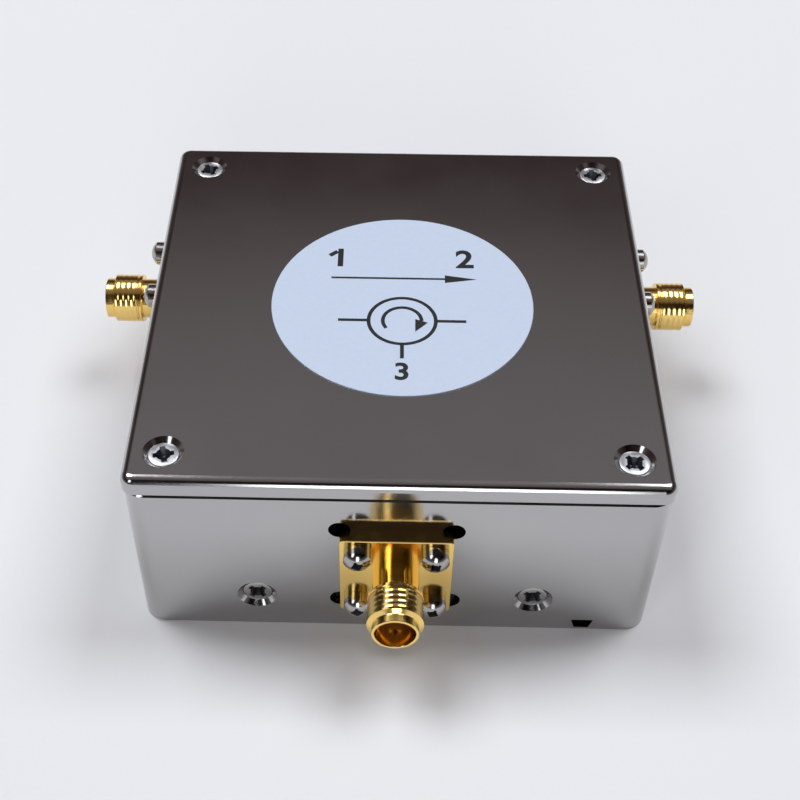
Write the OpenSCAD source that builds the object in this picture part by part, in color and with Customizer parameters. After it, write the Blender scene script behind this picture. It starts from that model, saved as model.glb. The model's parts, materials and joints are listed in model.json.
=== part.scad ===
// Coaxial RF circulator: a square nickel-plated case with three threaded ports.
// Frame: origin at the centre of the base, +Z up, the front port towards -Y.
// Ports are numbered 1 left, 2 right, 3 front. All sizes are in millimetres.

/* [Case] */
// Width and depth of the case
body_w = 60; // [58:0.5:72]
// Height of the case from its base to the top of the lid
body_h = 25.5; // [25:0.1:30]
// Thickness of the frame's walls
wall_t = 3; // [2.6:0.1:3.4]
// Radius of the frame's upright corners
frame_corner_r = 2.5; // [1:0.1:3.5]
// Chamfer on the frame's top edge, which shows as the seam under the lid
frame_chamfer = 0.45; // [0.1:0.05:0.6]
// Radius of the corners inside the frame
inside_corner_r = 1.5; // [0.5:0.1:2.5]
// Thickness of the lid
lid_t = 2.2; // [1.8:0.1:2.6]
// Radius of the lid's corners in plan
lid_corner_r = 1.5; // [0.8:0.1:3]
// Rounding of the lid's top edge
lid_edge_r = 1.1; // [0.2:0.05:1.3]
// Thickness of the base plate inside the frame
base_t = 8; // [7.5:0.1:8.5]
// Gap between the base plate and the frame around it
base_gap = 0.05; // [0.02:0.01:0.2]

/* [Base details] */
// Distance between the tapped mounting holes in the base
mount_hole_spacing = 40; // [34:0.5:44]
// Diameter of the mounting holes, the tap drill for M3
mount_hole_d = 2.5; // [2:0.1:3.3]
// Depth of the mounting holes
mount_hole_depth = 6; // [4:0.5:7]
// Distance of the pry slot from the right side of the case
slot_inset = 7.7; // [7:0.1:10]
// Width of the pry slot at its top
slot_top_w = 2.6; // [1.5:0.1:3]
// Width of the pry slot at its foot
slot_foot_w = 1.7; // [1:0.1:2.5]
// Height of the pry slot's top above the base
slot_top_z = 1.75; // [1:0.05:2.5]
// Height of the pry slot's foot above the base
slot_foot_z = 0.3; // [0.2:0.05:0.6]

/* [Countersunk screws] */
// Diameter of the countersink at the surface
csk_mouth_d = 4.6; // [4.2:0.1:5]
// Diameter of the screw head, which sits below the surface
csk_head_d = 3.7; // [3.2:0.1:4]
// Diameter of the screws
screw_d = 2; // [1.6:0.1:2.2]
// Length of the screws
csk_screw_l = 6; // [5:0.5:8]
// Distance of the lid screws from the outside of the case
lid_screw_inset = 4.4; // [4.2:0.1:5.5]
// Metal around each lid screw in the frame's corner posts
post_r = 2.8; // [2:0.1:3.2]
// Distance of the base screws from the middle of the wall
base_screw_x = 16.1; // [12:0.1:18]
// Height of the base screws
base_screw_z = 5.6; // [4:0.1:5.8]

/* [Label] */
// Diameter of the round label on the lid
label_d = 31.5; // [24:0.5:40]
// Thickness of the label
label_t = 0.15; // [0.08:0.01:0.3]
// Place of the label's middle to the right of the middle of the lid
label_x = 0.3; // [-4:0.1:4]
// Place of the label's middle behind the middle of the lid
label_y = -0.9; // [-4:0.1:4]

/* [Coaxial jacks] */
// Distance of the side ports from the back of the case
side_port_inset = 15.3; // [14:0.1:17]
// Width of the square flange
flange_w = 12.7; // [12:0.1:13.5]
// Thickness of the flange
flange_t = 1.6; // [1.3:0.1:2]
// Radius of the flange's corners
flange_corner_r = 0.4; // [0.1:0.1:1]
// Distance between the flange screws along each side
flange_screw_spacing = 8.64; // [8.3:0.02:9]
// Length of the jack in front of the wall
jack_l = 9.4; // [9.2:0.1:11]
// Diameter of the plain neck and of the tip
neck_d = 5.3; // [5.25:0.05:5.6]
// Outside diameter of the thread
thread_d = 6.35; // [6.2:0.05:6.6]
// Distance from the wall to the collar behind the thread
collar_z = 4.5; // [4:0.1:4.7]
// Length of the collar
collar_l = 0.45; // [0.3:0.05:0.6]
// Width of the groove between the collar and the thread
groove_w = 0.25; // [0.15:0.05:0.4]
// Depth of that groove
groove_depth = 0.2; // [0.1:0.05:0.25]
// Length of the thread
thread_l = 2.9; // [2.8:0.1:3.4]
// Length of the slope from the thread down to the tip
thread_lead_l = 0.3; // [0.2:0.05:0.5]
// Diameter of the open mouth
mouth_d = 4.6; // [4.5:0.05:4.8]
// Depth of the open mouth
mouth_depth = 3.4; // [3:0.1:4]
// Break on the outside of the tip
tip_break = 0.1; // [0.05:0.05:0.2]

/* [Insulators and contacts] */
// Diameter of the insulator
insulator_d = 4.1; // [3.9:0.05:4.3]
// Diameter of the insulator's shoulder behind the flange
shoulder_d = 5; // [4.7:0.1:5.1]
// Thickness of the shoulder
shoulder_t = 1; // [0.6:0.1:1.2]
// Diameter of the contact and its solder pin
contact_d = 1.27; // [1.1:0.01:1.4]
// Distance of the contact's open end behind the insulator's face
contact_recess = 0.1; // [0.05:0.05:0.25]
// Diameter of the hole in the contact
socket_d = 0.94; // [0.85:0.01:1]
// Depth of the hole in the contact
socket_depth = 2.5; // [2:0.1:3]
// Width of the slots between the contact's fingers
finger_slot_w = 0.2; // [0.1:0.05:0.3]
// Length of the slots
finger_slot_l = 2; // [1.5:0.1:2.4]
// Length of the solder pin inside the case
pin_out = 3; // [2.5:0.1:3.5]
// Break on the end of the solder pin
pin_break = 0.15; // [0.05:0.05:0.3]

/* [Flange screws] */
// Diameter of the pan heads
pan_d = 3.1; // [2.8:0.1:3.4]
// Height of the pan heads
pan_h = 2; // [1:0.05:2.3]
// Radius of the dome on the pan heads
pan_dome_r = 1.9; // [1.8:0.1:3]
// Length of the flange screws below their heads
pan_screw_l = 4.4; // [3.5:0.1:4.5]

/* [Spare holes] */
// Distance between the spare tapped holes around each jack
spare_hole_spacing = 12.7; // [12.5:0.1:13.2]
// Diameter of the spare tapped holes
spare_hole_d = 2.5; // [2:0.1:2.6]

/* [Cross recesses] */
// Span of the cross recess in a countersunk head
csk_cross_w = 2.1; // [1.6:0.1:2.4]
// Span of the cross recess in a pan head
pan_cross_w = 1.8; // [1.4:0.1:2.2]
// Width of each slot of the cross
cross_slot = 0.6; // [0.4:0.05:0.8]
// Depth of the cross recess
cross_depth = 0.7; // [0.4:0.05:0.8]

/* [Ferrite junction] */
// Diameter of the ferrite discs
ferrite_d = 28; // [24:0.5:29]
// Thickness of each ferrite disc
ferrite_t = 2.5; // [2.2:0.1:2.8]
// Diameter of the magnets and pole plates
magnet_d = 30; // [26:0.5:31]
// Thickness of the lower magnet
lower_magnet_t = 4; // [3.6:0.1:4.3]
// Thickness of the lower pole plate
lower_pole_t = 1; // [0.8:0.1:1.3]
// Thickness of the upper pole plate
upper_pole_t = 1.2; // [0.8:0.1:1.5]
// Thickness of the temperature compensation disc
compensation_t = 1.2; // [0.8:0.1:1.5]
// Thickness of the ground plate on the base
ground_t = 0.65; // [0.5:0.05:0.9]
// Gap around the ground plate
ground_gap = 0.15; // [0.05:0.05:0.3]
// Thickness of the ground cap over the ferrites
ground_cap_t = 0.6; // [0.4:0.05:0.8]
// Width of the ground cap's legs
cap_leg_w = 4; // [3:0.1:5]
// Gap between the ferrites and what folds down around them
fold_gap = 0.3; // [0.2:0.05:0.5]
// Diameter of the pressure pad under the lid
pad_d = 28; // [20:0.5:30]
// Thickness of the pressure pad
pad_t = 1.75; // [1:0.05:2.5]

/* [Strips and capacitors] */
// Thickness of the conductor strips
strip_t = 0.2; // [0.15:0.05:0.3]
// Width of the conductor strips
strip_w = 4; // [3.2:0.1:4.4]
// Thickness of the insulating films between the strips
film_t = 0.15; // [0.1:0.05:0.2]
// Width of the slot that splits each strip in two over the ferrites
strip_slot_w = 1.2; // [0.8:0.1:1.6]
// Metal left at each end of that slot, inside the edge of the ferrites
strip_slot_end = 3; // [2:0.1:4]
// Length of the solder pad at the port end of a strip
solder_pad_l = 3.6; // [3.2:0.1:4]
// Gap between the solder pad and the wall
solder_pad_gap = 0.5; // [0.3:0.1:0.8]
// Length of the foot at the grounded end of a strip
foot_l = 2; // [1.5:0.1:2.5]
// Width of the ceramic capacitors
capacitor_w = 3.6; // [3:0.1:4]
// Distance of the capacitors from the solder pads
capacitor_gap = 2; // [1.6:0.1:2.5]

/* [Fits] */
// Clearance round a part that slides into a hole
slide_gap = 0.03; // [0.02:0.01:0.05]
// Clearance round a screw in its threaded hole
thread_gap = 0.05; // [0.02:0.01:0.08]
// Clearance round a screw in a plain hole
through_gap = 0.15; // [0.1:0.05:0.2]
// Clearance under a countersunk head
seat_gap = 0.02; // [0.01:0.01:0.04]

/* [Hidden] */
$fn = 64;
// Overshoot of a cut past the surface it opens
cut = 0.5;

inner_w = body_w - 2 * wall_t;
frame_h = body_h - lid_t;
lid_screw_xy = body_w / 2 - lid_screw_inset;
thread_z = collar_z + collar_l + groove_w;
insulator_tip_z = jack_l - mouth_depth;
contact_tip_z = insulator_tip_z - contact_recess;
pin_end_z = -wall_t - pin_out;

// Heights in the stack, from the magnet pocket up to the lid
lower_magnet_z = base_t - lower_pole_t - lower_magnet_t;
ground_top = base_t + ground_t;
strips_z = ground_top + ferrite_t;
strip_step = strip_t + film_t;
upper_ferrite_z = strips_z + 2 * strip_step + strip_t;
ground_cap_z = upper_ferrite_z + ferrite_t;
upper_pole_z = ground_cap_z + ground_cap_t;
upper_magnet_z = upper_pole_z + upper_pole_t;
pad_z = frame_h - pad_t;
compensation_z = pad_z - compensation_t;
// The upper magnet takes up the height that is left under the lid
upper_magnet_t = compensation_z - upper_magnet_z;

// The ports lie in the middle plane of the strips
port_z = (strips_z + upper_ferrite_z) / 2;
side_port_y = body_w / 2 - side_port_inset;
port_pos = [
    [-body_w / 2, side_port_y, port_z],
    [body_w / 2, side_port_y, port_z],
    [0, -body_w / 2, port_z]
];
port_turn = [-90, 90, 0];

// The strips run from the solder pads through the middle of the case
solder_pad_r = inner_w / 2 - solder_pad_gap - solder_pad_l / 2;
solder_pad_pos = [
    [-solder_pad_r, side_port_y],
    [solder_pad_r, side_port_y],
    [0, -solder_pad_r]
];
strip_tail_r = ferrite_d / 2 + fold_gap + strip_t;
cap_leg_turns = [60, 180, 300];

function strip_z(n) = strips_z + (n - 1) * strip_step;
function strip_turn(n) = atan2(solder_pad_pos[n - 1].y, solder_pad_pos[n - 1].x);

// Square with rounded corners
module rounded_square(w, r) {
    square([w, w - 2 * r], center = true);
    square([w - 2 * r, w], center = true);
    for (x = [-1, 1], y = [-1, 1])
        translate([x, y] * (w / 2 - r)) circle(r);
}

// Section through the rim of a plate, from a corner's centre out to a rounded or chamfered top edge
module rim_section(r, h, edge, rounded) {
    square([r - edge, h]);
    square([r, h - edge]);
    translate([r - edge, h - edge])
        if (rounded) intersection() {
            circle(edge);
            square(edge);
        }
        else polygon([[0, 0], [edge, 0], [0, edge]]);
}

// Square plate with rounded corners and a rounded or chamfered top edge
module soft_plate(w, r, h, edge, rounded) {
    core = w - 2 * r;
    translate([-core / 2, -core / 2, 0]) cube([core, core, h]);
    for (turn = [0 : 90 : 270]) rotate(turn) translate([core / 2, core / 2, 0]) {
        rotate([90, 0, 0]) linear_extrude(core) rim_section(r, h, edge, rounded);
        rotate_extrude(angle = 90) rim_section(r, h, edge, rounded);
    }
}

// Four copies at the corners of a square
module square_pattern(spacing) {
    for (x = [-1, 1], y = [-1, 1])
        translate([x, y, 0] * spacing / 2) children();
}

// Puts a shape on a port's axis, with its z = 0 on the wall and its +Z outwards
module at_port(n) {
    translate(port_pos[n - 1]) rotate(port_turn[n - 1]) rotate([90, 0, 0]) children();
}

module at_lid_screws() {
    translate([0, 0, body_h]) square_pattern(2 * lid_screw_xy) children();
}

// The base screws pass through the front and back walls
module at_base_screws() {
    for (turn = [0, 180], x = [-1, 1])
        rotate(turn) translate([x * base_screw_x, -body_w / 2, base_screw_z])
            rotate([90, 0, 0]) children();
}

// Countersunk hole through a wall, down from z = 0
module countersink(depth) {
    mouth_r = csk_mouth_d / 2;
    hole_r = screw_d / 2 + through_gap;
    rotate_extrude() polygon([
        [0, cut], [mouth_r, cut], [mouth_r, 0],
        [hole_r, hole_r - mouth_r], [hole_r, -depth - cut], [0, -depth - cut]
    ]);
}

// Threaded hole of the screws' own diameter, down from z = 0
module screw_hole(depth) {
    translate([0, 0, -depth]) cylinder(h = depth + cut, d = screw_d + 2 * thread_gap);
}

module cross_recess(span) {
    for (turn = [0, 90])
        rotate(turn) translate([-span / 2, -cross_slot / 2, -cross_depth])
            cube([span, cross_slot, cross_depth + cut]);
}

// Countersunk screw whose head rests in a countersink with its mouth at z = 0
module csk_screw() {
    head_r = csk_head_d / 2;
    shank_r = screw_d / 2;
    head_drop = (csk_mouth_d - csk_head_d) / 2 - seat_gap;
    translate([0, 0, -head_drop]) difference() {
        rotate_extrude() polygon([
            [0, 0], [head_r, 0], [shank_r, shank_r - head_r], [shank_r, -csk_screw_l], [0, -csk_screw_l]
        ]);
        cross_recess(csk_cross_w);
    }
}

// Pan head screw that rests on z = 0
module pan_screw() {
    difference() {
        union() {
            rotate_extrude() intersection() {
                square([pan_d / 2, pan_h]);
                translate([0, pan_h - pan_dome_r]) circle(pan_dome_r);
            }
            translate([0, 0, -pan_screw_l]) cylinder(h = pan_screw_l + pan_h / 2, d = screw_d);
        }
        translate([0, 0, pan_h]) cross_recess(pan_cross_w);
    }
}

// Plan of the post that holds a lid screw, run into the corner of the frame
module corner_post() {
    reach = inner_w / 2 - lid_screw_xy + cut;
    translate([lid_screw_xy, lid_screw_xy]) {
        circle(post_r);
        translate([-post_r, 0]) square([post_r + reach, reach]);
        translate([0, -post_r]) square([reach, post_r + reach]);
    }
}

module cavity_outline() {
    difference() {
        rounded_square(inner_w, inside_corner_r);
        for (turn = [0 : 90 : 270]) rotate(turn) corner_post();
    }
}

// Holes through a wall for a jack, its screws and the spare pattern around it
module port_holes() {
    translate([0, 0, -wall_t - cut]) cylinder(h = wall_t + 2 * cut, d = insulator_d + 2 * slide_gap);
    square_pattern(flange_screw_spacing) screw_hole(wall_t + cut);
    square_pattern(spare_hole_spacing)
        translate([0, 0, -wall_t - cut]) cylinder(h = wall_t + 2 * cut, d = spare_hole_d);
}

// Slot low in the front wall for levering out the base plate
module pry_slot() {
    translate([body_w / 2 - slot_inset, wall_t + cut - body_w / 2, 0]) rotate([90, 0, 0])
        linear_extrude(wall_t + 2 * cut) polygon([
            [-slot_foot_w / 2, slot_foot_z], [slot_foot_w / 2, slot_foot_z],
            [slot_top_w / 2, slot_top_z], [-slot_top_w / 2, slot_top_z]
        ]);
}

module housing_frame() {
    color("silver") difference() {
        soft_plate(body_w, frame_corner_r, frame_h, frame_chamfer, false);
        translate([0, 0, -cut]) linear_extrude(base_t + cut) rounded_square(inner_w, inside_corner_r);
        translate([0, 0, -cut]) linear_extrude(frame_h + 2 * cut) cavity_outline();
        at_lid_screws() translate([0, 0, -lid_t]) screw_hole(csk_screw_l);
        at_base_screws() countersink(wall_t);
        for (n = [1 : 3]) at_port(n) port_holes();
        pry_slot();
    }
}

module base_plate() {
    pocket_r = magnet_d / 2 + base_gap;
    color("lightgray") difference() {
        linear_extrude(base_t) rounded_square(inner_w - 2 * base_gap, inside_corner_r);
        translate([0, 0, lower_magnet_z]) cylinder(h = base_t, r = pocket_r);
        at_base_screws() translate([0, 0, -wall_t]) screw_hole(csk_screw_l);
        translate([0, 0, -cut]) square_pattern(mount_hole_spacing)
            cylinder(h = mount_hole_depth + cut, d = mount_hole_d);
    }
}

module top_lid() {
    color("silver") difference() {
        translate([0, 0, frame_h]) soft_plate(body_w, lid_corner_r, lid_t, lid_edge_r, true);
        at_lid_screws() countersink(lid_t);
    }
}

module lid_screws() {
    color("gainsboro") at_lid_screws() csk_screw();
}

module base_screws() {
    color("gainsboro") at_base_screws() csk_screw();
}

module label() {
    color("aliceblue") translate([label_x, label_y, body_h]) cylinder(h = label_t, d = label_d);
}

// Turned barrel with a collar, a thread band and a plain tip
module jack_barrel() {
    neck_r = neck_d / 2;
    thread_r = thread_d / 2;
    groove_z = collar_z + collar_l;
    thread_end_z = thread_z + thread_l;
    rotate_extrude() polygon([
        [0, 0], [neck_r, 0], [neck_r, collar_z], [thread_r, collar_z], [thread_r, groove_z],
        [thread_r - groove_depth, groove_z], [thread_r - groove_depth, thread_z], [thread_r, thread_z],
        [thread_r, thread_end_z], [neck_r, thread_end_z + thread_lead_l],
        [neck_r, jack_l - tip_break], [neck_r - tip_break, jack_l], [0, jack_l]
    ]);
}

// Stepped bore: room for the insulator's shoulder, its body, and the open mouth
module jack_bore() {
    body_r = insulator_d / 2 + slide_gap;
    shoulder_r = shoulder_d / 2 + slide_gap;
    rotate_extrude() polygon([
        [0, -cut], [shoulder_r, -cut], [shoulder_r, shoulder_t], [body_r, shoulder_t],
        [body_r, insulator_tip_z], [mouth_d / 2, insulator_tip_z],
        [mouth_d / 2, jack_l + cut], [0, jack_l + cut]
    ]);
}

module jack(n) {
    color("gold") at_port(n) difference() {
        union() {
            linear_extrude(flange_t) rounded_square(flange_w, flange_corner_r);
            jack_barrel();
        }
        jack_bore();
        square_pattern(flange_screw_spacing)
            translate([0, 0, -cut]) cylinder(h = flange_t + 2 * cut, d = screw_d + 2 * through_gap);
    }
}

// The shoulder is held between the wall and the jack
module insulator(n) {
    color("saddlebrown") at_port(n) difference() {
        rotate_extrude() polygon([
            [0, -wall_t], [insulator_d / 2, -wall_t], [insulator_d / 2, 0], [shoulder_d / 2, 0],
            [shoulder_d / 2, shoulder_t], [insulator_d / 2, shoulder_t],
            [insulator_d / 2, insulator_tip_z], [0, insulator_tip_z]
        ]);
        translate([0, 0, -wall_t - cut]) cylinder(h = wall_t + jack_l, d = contact_d + 2 * slide_gap);
    }
}

// Socket with four spring fingers outside, and a solder pin inside the case
module contact(n) {
    pin_r = contact_d / 2;
    socket_z = contact_tip_z - socket_depth;
    color("goldenrod") at_port(n) difference() {
        rotate_extrude() polygon([
            [0, pin_end_z], [pin_r - pin_break, pin_end_z], [pin_r, pin_end_z + pin_break],
            [pin_r, contact_tip_z], [socket_d / 2, contact_tip_z], [socket_d / 2, socket_z], [0, socket_z]
        ]);
        for (turn = [0, 90])
            rotate(turn) translate([-contact_d, -finger_slot_w / 2, contact_tip_z - finger_slot_l])
                cube([2 * contact_d, finger_slot_w, finger_slot_l + cut]);
    }
}

module flange_screws(n) {
    color("gainsboro") at_port(n) translate([0, 0, flange_t])
        square_pattern(flange_screw_spacing) pan_screw();
}

// Round layer of the stack, centred in the case
module stack_disc(z, d, t) {
    translate([0, 0, z]) cylinder(h = t, d = d);
}

module lower_magnet() {
    color("dimgray") stack_disc(lower_magnet_z, magnet_d, lower_magnet_t);
}

module lower_pole_plate() {
    color("lightgray") stack_disc(base_t - lower_pole_t, magnet_d, lower_pole_t);
}

// Plate over the whole base, cut away round the corner posts
module ground_plate() {
    plate_w = inner_w - 2 * ground_gap;
    post_clear = 2 * (lid_screw_xy - post_r - ground_gap);
    color("peru") translate([0, 0, base_t]) linear_extrude(ground_t) {
        square([plate_w, post_clear], center = true);
        square([post_clear, plate_w], center = true);
    }
}

module lower_ferrite() {
    color("darkslategray") stack_disc(ground_top, ferrite_d, ferrite_t);
}

// Plan of a strip: two lines over the ferrites and a fork for the solder pin
module strip_outline(n) {
    pad_pos = solder_pad_pos[n - 1];
    slot_l = ferrite_d - 2 * strip_slot_end;
    fork_w = contact_d + 2 * slide_gap;
    difference() {
        union() {
            rotate(strip_turn(n)) translate([-strip_tail_r, -strip_w / 2])
                square([strip_tail_r + norm(pad_pos), strip_w]);
            translate(pad_pos) rotate(port_turn[n - 1]) square([strip_w, solder_pad_l], center = true);
        }
        rotate(strip_turn(n)) square([slot_l, strip_slot_w], center = true);
        translate([port_pos[n - 1].x, port_pos[n - 1].y]) rotate(port_turn[n - 1])
            translate([-fork_w / 2, 0]) square([fork_w, slide_gap - pin_end_z]);
    }
}

// Copper strip from a port across the ferrites, folded down to the ground plate
module strip(n) {
    color("darkgoldenrod") {
        translate([0, 0, strip_z(n)]) linear_extrude(strip_t) strip_outline(n);
        rotate(strip_turn(n)) translate([-strip_tail_r, -strip_w / 2, ground_top]) {
            cube([strip_t, strip_w, strip_z(n) + strip_t - ground_top]);
            translate([-foot_l, 0, 0]) cube([foot_l + strip_t, strip_w, strip_t]);
        }
    }
}

module lower_film() {
    color("orange") stack_disc(strip_z(1) + strip_t, ferrite_d, film_t);
}

module upper_film() {
    color("orange") stack_disc(strip_z(2) + strip_t, ferrite_d, film_t);
}

module upper_ferrite() {
    color("darkslategray") stack_disc(upper_ferrite_z, ferrite_d, ferrite_t);
}

// Disc over the ferrites, with legs folded down between the strips
module ground_cap() {
    leg_x = ferrite_d / 2 + fold_gap;
    color("peru") {
        stack_disc(ground_cap_z, ferrite_d, ground_cap_t);
        for (turn = cap_leg_turns) rotate(turn) translate([0, -cap_leg_w / 2, 0]) {
            translate([0, 0, ground_cap_z]) cube([leg_x + ground_cap_t, cap_leg_w, ground_cap_t]);
            translate([leg_x, 0, ground_top]) cube([ground_cap_t, cap_leg_w, upper_pole_z - ground_top]);
        }
    }
}

module upper_pole_plate() {
    color("lightgray") stack_disc(upper_pole_z, magnet_d, upper_pole_t);
}

module upper_magnet() {
    color("dimgray") stack_disc(upper_magnet_z, magnet_d, upper_magnet_t);
}

module compensation_disc() {
    color("gray") stack_disc(compensation_z, magnet_d, compensation_t);
}

// Silicone pad that the lid presses on the stack
module pressure_pad() {
    color("whitesmoke") stack_disc(pad_z, pad_d, pad_t);
}

// Ceramic block between the ground plate and a strip
module capacitor(n) {
    capacitor_x = norm(solder_pad_pos[n - 1]) - solder_pad_l / 2 - capacitor_gap - capacitor_w;
    color("ivory") rotate(strip_turn(n)) translate([capacitor_x, -capacitor_w / 2, ground_top])
        cube([capacitor_w, capacitor_w, strip_z(n) - ground_top]);
}

housing_frame();
base_plate();
top_lid();
lid_screws();
base_screws();
label();
for (n = [1 : 3]) {
    jack(n);
    insulator(n);
    contact(n);
    flange_screws(n);
    strip(n);
    capacitor(n);
}
lower_magnet();
lower_pole_plate();
ground_plate();
lower_ferrite();
lower_film();
upper_film();
upper_ferrite();
ground_cap();
upper_pole_plate();
upper_magnet();
compensation_disc();
pressure_pad();
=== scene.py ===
# %% [markdown]
# # A coaxial circulator, dressed from its CAD model
# A circulator sends a radio signal from each of its ports on to the next, in one direction only. The real
# one is a steel box with a bright nickel finish, three gold-plated threaded jacks, small steel screws and a
# round paper label. The CAD model already holds every piece at its real size. This lesson gives the pieces
# their finishes, and models again the ones whose small forms catch the light: the jacks with their threads,
# the screw heads, and the label with its print.

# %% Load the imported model
import json
import math

import bpy
from mathutils import Matrix, Vector


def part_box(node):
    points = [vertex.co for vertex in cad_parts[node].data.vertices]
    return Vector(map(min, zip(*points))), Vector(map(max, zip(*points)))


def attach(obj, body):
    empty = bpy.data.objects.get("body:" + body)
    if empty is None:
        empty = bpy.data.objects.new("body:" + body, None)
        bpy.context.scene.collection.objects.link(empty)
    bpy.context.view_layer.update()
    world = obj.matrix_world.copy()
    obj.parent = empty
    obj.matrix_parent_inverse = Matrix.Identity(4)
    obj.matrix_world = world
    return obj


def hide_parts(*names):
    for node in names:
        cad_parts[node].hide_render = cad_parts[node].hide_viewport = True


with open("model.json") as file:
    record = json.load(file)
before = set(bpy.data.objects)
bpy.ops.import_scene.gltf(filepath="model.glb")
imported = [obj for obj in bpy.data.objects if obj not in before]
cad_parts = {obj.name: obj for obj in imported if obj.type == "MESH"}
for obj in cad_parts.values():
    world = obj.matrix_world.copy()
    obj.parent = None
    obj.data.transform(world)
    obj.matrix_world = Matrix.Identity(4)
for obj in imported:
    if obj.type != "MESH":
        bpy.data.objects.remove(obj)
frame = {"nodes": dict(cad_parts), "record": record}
bpy.ops.object.select_all(action="DESELECT")
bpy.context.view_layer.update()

# %% [markdown]
# ## The camera
# The photograph was taken from in front and above, from about three case widths away, so near edges look
# larger than far ones. Its place was worked out from the corners of the case, whose sizes are known. The
# camera looks at the middle of the base, then slides a little in its own plane. The lens is shifted by a
# twentieth of the picture, because a photograph that was trimmed has its middle off the lens's axis.

# %% Camera at the photograph's place
MM = 0.001
PHOTO_WIDTH_PX = 800
SENSOR_WIDTH_MM = 36.0
VIEW_ELEVATION = math.radians(47.65)
VIEW_AZIMUTH = math.radians(1.48)
VIEW_ROLL = math.radians(-0.05)
VIEW_DISTANCE_MM = 183.9
SLIDE_RIGHT_MM = -4.83
SLIDE_UP_MM = -0.02
FOCAL_LENGTH_PX = 1364.2
SHIFT_PX = (40, 40)
NEAREST_MM = 10
FARTHEST_MM = 20000

forward = Vector((
    -math.sin(VIEW_AZIMUTH) * math.cos(VIEW_ELEVATION),
    math.cos(VIEW_AZIMUTH) * math.cos(VIEW_ELEVATION),
    -math.sin(VIEW_ELEVATION),
))
level_right = forward.cross(Vector((0, 0, 1))).normalized()
level_up = level_right.cross(forward)
view_right = level_right * math.cos(VIEW_ROLL) + level_up * math.sin(VIEW_ROLL)
view_up = level_up * math.cos(VIEW_ROLL) - level_right * math.sin(VIEW_ROLL)
slide = view_right * SLIDE_RIGHT_MM + view_up * SLIDE_UP_MM

camera_data = bpy.data.cameras.new("photo_camera")
camera_data.sensor_width = SENSOR_WIDTH_MM
camera_data.lens = FOCAL_LENGTH_PX / PHOTO_WIDTH_PX * SENSOR_WIDTH_MM
camera_data.shift_x, camera_data.shift_y = (pixels / PHOTO_WIDTH_PX for pixels in SHIFT_PX)
camera_data.clip_start = NEAREST_MM * MM
camera_data.clip_end = FARTHEST_MM * MM
camera = bpy.data.objects.new("photo_camera", camera_data)
bpy.context.collection.objects.link(camera)
turn = Matrix((view_right, view_up, -forward)).transposed().to_4x4()
camera.matrix_world = Matrix.Translation((slide - forward * VIEW_DISTANCE_MM) * MM) @ turn
bpy.context.scene.camera = camera
print("camera at", [round(value, 4) for value in camera.matrix_world.translation])

# %% [markdown]
# ## Finishes
# Each finish starts from the real material and from how its surface was made. Patterns read the Object
# coordinates, which are metres on the part, so a pattern's scale is worked out from a real size. One
# function adds any node, and three more let a pattern change the tone, the gloss or the relief of a finish.

# %% Colours and nodes
def linear(hex_colour):
    """An sRGB hex colour as linear red, green, blue and alpha."""
    channels = [int(hex_colour[place:place + 2], 16) / 255 for place in (1, 3, 5)]
    return [c / 12.92 if c <= 0.04045 else ((c + 0.055) / 1.055) ** 2.4 for c in channels] + [1.0]


def per_mm(size_mm):
    """The noise scale that gives features of about a size in millimetres."""
    return 1 / (size_mm * MM)


def add_node(tree, kind, values=None, links=None, stops=None, **settings):
    """Adds a node with its settings and input values, links from (node, output) pairs, and colour stops."""
    node = tree.nodes.new(kind)
    for name, value in settings.items():
        setattr(node, name, value)
    for name, value in (values or {}).items():
        node.inputs[name].default_value = value
    for name, (source, output) in (links or {}).items():
        tree.links.new(source.outputs[output], node.inputs[name])
    if stops:
        elements = node.color_ramp.elements
        while len(elements) < len(stops):
            elements.new(0.5)
        for element, (position, colour) in zip(elements, stops):
            element.position = position
            element.color = colour
    return node


def start_finish(name, values):
    """A new material with its main shader, whose constant values sit on the shader's own sockets."""
    material = bpy.data.materials.new(name)
    material.use_nodes = True
    shader = material.node_tree.nodes["Principled BSDF"]
    for socket, value in values.items():
        shader.inputs[socket].default_value = value
    return material, material.node_tree, shader


print("label paper in linear light:", [round(c, 3) for c in linear("#CBD8EC")[:3]])

# %% Tone, gloss and relief
NOISE_LOW, NOISE_HIGH = 0.3, 0.7
RELIEF_MM = 0.02


def vary_tone(tree, shader, pattern, dark, light):
    """Lets a pattern change the colour between two tones."""
    tone = add_node(
        tree, "ShaderNodeValToRGB", links={"Fac": (pattern, "Fac")},
        stops=[(0, linear(dark)), (1, linear(light))])
    tree.links.new(tone.outputs["Color"], shader.inputs["Base Color"])


def vary_gloss(tree, shader, pattern, sharpest, dullest):
    """Lets a pattern change the roughness over the range that noise seldom leaves."""
    reach = {"From Min": NOISE_LOW, "From Max": NOISE_HIGH, "To Min": sharpest, "To Max": dullest}
    gloss = add_node(tree, "ShaderNodeMapRange", reach, {"Value": (pattern, "Fac")})
    tree.links.new(gloss.outputs["Result"], shader.inputs["Roughness"])


def vary_relief(tree, shader, pattern, strength):
    """Lets a pattern raise a very fine relief."""
    rise = {"Strength": strength, "Distance": RELIEF_MM * MM}
    relief = add_node(tree, "ShaderNodeBump", rise, {"Height": (pattern, "Fac")})
    tree.links.new(relief.outputs["Normal"], shader.inputs["Normal"])


print("finishes can vary in tone, gloss and relief")

# %% [markdown]
# ### Bright nickel on steel
# The case is ground, polished and plated with bright nickel. It is a mirror with a slightly warm grey tint,
# a little soft because the polishing marks under the plate spread the light. Here the softness is the
# roughness, which changes slowly over the surface, and a very fine bump stands for the marks.

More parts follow.
